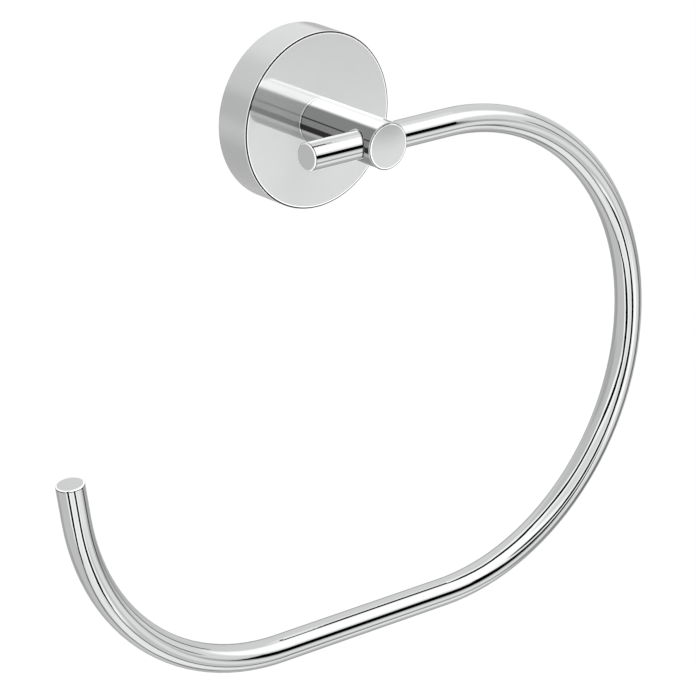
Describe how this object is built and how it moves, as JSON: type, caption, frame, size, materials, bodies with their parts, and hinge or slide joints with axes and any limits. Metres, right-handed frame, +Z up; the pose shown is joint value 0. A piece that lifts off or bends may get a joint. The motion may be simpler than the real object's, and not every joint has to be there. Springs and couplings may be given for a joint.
{
  "type": "towel ring",
  "caption": "Wall-mounted open towel ring: a round chrome bar bent to an open loop, clamped through a short round post that stands on a round wall rosette.",
  "frame": {"origin": "centre of the rosette on the wall face", "axes": "+Y into the wall, so the ring stands out towards -Y; +X to the right along the wall; +Z up"},
  "size_m": [0.2268, 0.0465, 0.1867],
  "materials": {
    "polished_chrome": "polished",
    "cast_zinc": "satin",
    "steel": "satin"
  },
  "bodies": {
    "root": {"rosette": "polished_chrome", "post": "polished_chrome", "ring_bar": "polished_chrome", "wall_plate": "cast_zinc", "post_screw": "steel", "post_washer": "steel", "bar_set_screw": "steel", "rosette_set_screw": "steel"}
  },
  "joints": []
}
